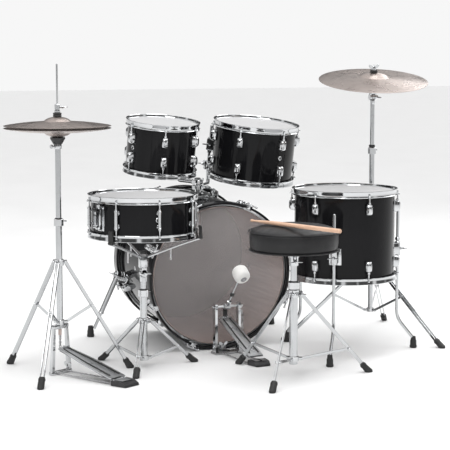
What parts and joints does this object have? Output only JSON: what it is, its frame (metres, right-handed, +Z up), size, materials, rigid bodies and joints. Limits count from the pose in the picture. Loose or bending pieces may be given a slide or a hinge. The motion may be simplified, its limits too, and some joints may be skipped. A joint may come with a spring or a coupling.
{
  "type": "acoustic drum kit",
  "caption": "Acoustic drum kit with hanging toms, floor tom, snare, hi-hat, crash cymbal, kick pedal, throne and stick, all hardware jointed.",
  "frame": {"origin": "middle of the footprint on the floor", "axes": "+Z up, +Y from the drummer to the audience, +X to the drummer's right"},
  "size_m": [1.6674, 1.2414, 1.037],
  "materials": {
    "black_wrap": "gloss black covering over ply",
    "black_lacquer": "gloss black lacquer on wooden hoops",
    "chrome": "bright chrome plate",
    "steel_rod": "plated steel",
    "cast_aluminium": "satin cast aluminium with black grooves",
    "cymbal_bronze": "lathed bronze",
    "coated_head": "coated film",
    "clear_head": "clear film",
    "black_head": "black film",
    "beater_felt": "white felt",
    "seat_vinyl": "black vinyl",
    "stick_wood": "lacquered hickory"
  },
  "bodies": {
    "root": {"bass_shell": "black_wrap", "bass_front_hoop": "black_lacquer", "bass_front_head": "black_head", "bass_batter_hoop": "black_lacquer", "bass_batter_head": "clear_head", "floor_tom_shell": "black_wrap", "floor_tom_batter_hoop": "chrome", "floor_tom_batter_head": "coated_head", "floor_tom_bottom_hoop": "chrome", "snare_stand_base": "chrome", "hihat_base": "chrome", "cymbal_stand_base": "chrome", "kick_pedal_frame": "chrome", "throne_base": "chrome"},
    "spur_left": {"spur_left": "chrome"},
    "spur_right": {"spur_right": "chrome"},
    "tom_post": {"tom_post": "chrome"},
    "small_tom_arm": {"small_tom_arm": "chrome"},
    "large_tom_arm": {"large_tom_arm": "chrome"},
    "small_tom": {"small_tom_shell": "black_wrap", "small_tom_batter_hoop": "chrome", "small_tom_batter_head": "coated_head", "small_tom_bottom_hoop": "chrome", "small_tom_rod": "chrome"},
    "large_tom": {"large_tom_shell": "black_wrap", "large_tom_batter_hoop": "chrome", "large_tom_batter_head": "coated_head", "large_tom_bottom_hoop": "chrome", "large_tom_rod": "chrome"},
    "floor_tom_leg_1": {"floor_tom_leg_1": "chrome"},
    "floor_tom_leg_2": {"floor_tom_leg_2": "chrome"},
    "floor_tom_leg_3": {"floor_tom_leg_3": "chrome"},
    "snare_upper_tube": {"snare_stand_upper_tube": "chrome"},
    "snare_drum": {"snare_stand_basket": "chrome", "snare_shell": "black_wrap", "snare_batter_hoop": "chrome", "snare_batter_head": "coated_head", "snare_bottom_hoop": "chrome"},
    "snare_lever": {"snare_strainer_lever": "chrome"},
    "kick_footboard": {"kick_footboard": "cast_aluminium"},
    "kick_beater": {"kick_beater": "beater_felt"},
    "hihat_upper_tube": {"hihat_upper_tube": "chrome", "hihat_bottom_cymbal": "cymbal_bronze"},
    "hihat_pull_rod": {"hihat_pull_rod": "steel_rod"},
    "hihat_clutch": {"hihat_clutch": "chrome", "hihat_top_cymbal": "cymbal_bronze"},
    "hihat_footboard": {"hihat_footboard": "cast_aluminium"},
    "cymbal_collar": {"cymbal_stand_collar": "chrome"},
    "cymbal_leg_1": {"cymbal_stand_leg_1": "chrome"},
    "cymbal_leg_2": {"cymbal_stand_leg_2": "chrome"},
    "cymbal_leg_3": {"cymbal_stand_leg_3": "chrome"},
    "cymbal_brace_1": {"cymbal_stand_brace_1": "chrome"},
    "cymbal_brace_2": {"cymbal_stand_brace_2": "chrome"},
    "cymbal_brace_3": {"cymbal_stand_brace_3": "chrome"},
    "cymbal_upper_tube": {"cymbal_stand_upper_tube": "chrome"},
    "cymbal_tilter": {"cymbal_stand_tilter": "chrome"},
    "crash_cymbal": {"crash_cymbal": "cymbal_bronze"},
    "throne_post": {"throne_post": "chrome", "drum_stick": "stick_wood"},
    "throne_seat": {"throne_seat": "seat_vinyl"}
  },
  "joints": [
    {"name": "spur_left_fold", "type": "hinge", "parent": "root", "child": "spur_left", "pos_m": [-0.29269, 0.51189, 0.241], "axis": [0.9433, 0.1454, -0.2983], "range_deg": [0, 60]},
    {"name": "spur_right_fold", "type": "hinge", "parent": "root", "child": "spur_right", "pos_m": [0.27331, 0.51189, 0.241], "axis": [0.9433, -0.1454, 0.2983], "range_deg": [0, 60]},
    {"name": "tom_holder_height", "type": "slide", "parent": "root", "child": "tom_post", "axis": [0, 0, 1], "range_m": [0, 0.08]},
    {"name": "small_tom_swing", "type": "hinge", "parent": "tom_post", "child": "small_tom_arm", "pos_m": [-0.00969, 0.41189, 0.59], "axis": [0, 0, 1], "range_deg": [-12, 12]},
    {"name": "large_tom_swing", "type": "hinge", "parent": "tom_post", "child": "large_tom_arm", "pos_m": [-0.00969, 0.41189, 0.57], "axis": [0, 0, 1], "range_deg": [-12, 12]},
    {"name": "small_tom_tilt", "type": "hinge", "parent": "small_tom_arm", "child": "small_tom", "pos_m": [-0.046, 0.53337, 0.67252], "axis": [1, 0, 0], "range_deg": [-7, 4]},
    {"name": "large_tom_tilt", "type": "hinge", "parent": "large_tom_arm", "child": "large_tom", "pos_m": [0.08248, 0.54693, 0.64777], "axis": [1, 0, 0], "range_deg": [-7, 8]},
    {"name": "floor_tom_leg_1_height", "type": "slide", "parent": "root", "child": "floor_tom_leg_1", "axis": [0, 0, 1], "range_m": [0, 0.1]},
    {"name": "floor_tom_leg_2_height", "type": "slide", "parent": "root", "child": "floor_tom_leg_2", "axis": [0, 0, 1], "range_m": [0, 0.1]},
    {"name": "floor_tom_leg_3_height", "type": "slide", "parent": "root", "child": "floor_tom_leg_3", "axis": [0, 0, 1], "range_m": [0, 0.1]},
    {"name": "snare_height", "type": "slide", "parent": "root", "child": "snare_upper_tube", "axis": [0, 0, 1], "range_m": [-0.02, 0.1]},
    {"name": "snare_tilt", "type": "hinge", "parent": "snare_upper_tube", "child": "snare_drum", "pos_m": [-0.35969, -0.00812, 0.325], "axis": [0, 1, 0], "range_deg": [-15, 15]},
    {"name": "snare_strainer", "type": "hinge", "parent": "snare_drum", "child": "snare_lever", "pos_m": [-0.5495, -0.08288, 0.5], "axis": [0.3665, -0.9304, 0], "range_deg": [0, 60]},
    {"name": "kick_footboard_press", "type": "hinge", "parent": "root", "child": "kick_footboard", "pos_m": [0.01626, -0.10553, 0.024], "axis": [-0.9925, -0.1219, 0], "range_deg": [0, 13], "stiffness_Nm_per_rad": 12, "springref_deg": -22.92},
    {"name": "kick_beater_swing", "type": "hinge", "parent": "root", "child": "kick_beater", "pos_m": [-0.00969, 0.10589, 0.17], "axis": [-0.9925, -0.1219, 0], "range_deg": [0, 50]},
    {"name": "hihat_height", "type": "slide", "parent": "root", "child": "hihat_upper_tube", "axis": [0, 0, 1], "range_m": [-0.08, 0]},
    {"name": "hihat_footboard_press", "type": "hinge", "parent": "root", "child": "hihat_footboard", "pos_m": [-0.52369, -0.23975, 0.018], "axis": [-0.866, -0.5, 0], "range_deg": [0, 1.3], "stiffness_Nm_per_rad": 10, "springref_deg": -17.19},
    {"name": "hihat_pull", "type": "slide", "parent": "root", "child": "hihat_pull_rod", "axis": [0, 0, -1], "range_m": [0, 0.006], "stiffness_N_per_m": 1500, "springref_m": -0.03},
    {"name": "hihat_clutch_height", "type": "slide", "parent": "hihat_pull_rod", "child": "hihat_clutch", "axis": [0, 0, 1], "range_m": [0, 0.08]},
    {"name": "cymbal_collar_slide", "type": "slide", "parent": "root", "child": "cymbal_collar", "axis": [0, 0, 1], "range_m": [0, 0.13044]},
    {"name": "cymbal_leg_1_fold", "type": "hinge", "parent": "cymbal_collar", "child": "cymbal_leg_1", "pos_m": [0.62564, 0.20416, 0.285], "axis": [0.9135, 0.4067, 0], "range_deg": [0, 36.41]},
    {"name": "cymbal_leg_2_fold", "type": "hinge", "parent": "cymbal_collar", "child": "cymbal_leg_2", "pos_m": [0.62936, 0.23947, 0.285], "axis": [-0.809, 0.5878, 0], "range_deg": [0, 36.41]},
    {"name": "cymbal_leg_3_fold", "type": "hinge", "parent": "cymbal_collar", "child": "cymbal_leg_3", "pos_m": [0.59692, 0.22503, 0.285], "axis": [-0.1045, -0.9945, 0], "range_deg": [0, 36.41]},
    {"name": "cymbal_brace_1_fold", "type": "hinge", "parent": "root", "child": "cymbal_brace_1", "pos_m": [0.62564, 0.20416, 0.1], "axis": [-0.9135, -0.4067, 0], "range_deg": [0, 48.34]},
    {"name": "cymbal_brace_2_fold", "type": "hinge", "parent": "root", "child": "cymbal_brace_2", "pos_m": [0.62936, 0.23947, 0.1], "axis": [0.809, -0.5878, 0], "range_deg": [0, 48.34]},
    {"name": "cymbal_brace_3_fold", "type": "hinge", "parent": "root", "child": "cymbal_brace_3", "pos_m": [0.59692, 0.22503, 0.1], "axis": [0.1045, 0.9945, 0], "range_deg": [0, 48.34]},
    {"name": "cymbal_height", "type": "slide", "parent": "root", "child": "cymbal_upper_tube", "axis": [0, 0, 1], "range_m": [-0.05, 0.1]},
    {"name": "cymbal_tilt", "type": "hinge", "parent": "cymbal_upper_tube", "child": "cymbal_tilter", "pos_m": [0.61731, 0.22288, 0.904], "axis": [1, 0, 0], "range_deg": [-20, 20]},
    {"name": "crash_spin", "type": "hinge", "parent": "cymbal_tilter", "child": "crash_cymbal", "pos_m": [0.61731, 0.22288, 0.904], "axis": [-0.0523, -0.1905, 0.9803], "continuous": true},
    {"name": "throne_height", "type": "slide", "parent": "root", "child": "throne_post", "axis": [0, 0, 1], "range_m": [-0.05, 0.1]},
    {"name": "throne_swivel", "type": "hinge", "parent": "throne_post", "child": "throne_seat", "pos_m": [0.06031, -0.32811, 0.422], "axis": [0, 0, 1], "continuous": true}
  ],
  "couplings": [
    {"joint": "kick_beater_swing", "follows": "kick_footboard_press", "ratio": 3.84},
    {"joint": "hihat_pull", "follows": "hihat_footboard_press", "m_per_rad": 0.254},
    {"joint": "cymbal_leg_1_fold", "follows": "cymbal_collar_slide", "rad_per_m": 4.8644},
    {"joint": "cymbal_leg_2_fold", "follows": "cymbal_collar_slide", "rad_per_m": 4.8644},
    {"joint": "cymbal_leg_3_fold", "follows": "cymbal_collar_slide", "rad_per_m": 4.8644},
    {"joint": "cymbal_brace_1_fold", "follows": "cymbal_collar_slide", "rad_per_m": 6.4611},
    {"joint": "cymbal_brace_2_fold", "follows": "cymbal_collar_slide", "rad_per_m": 6.4611},
    {"joint": "cymbal_brace_3_fold", "follows": "cymbal_collar_slide", "rad_per_m": 6.4611}
  ]
}
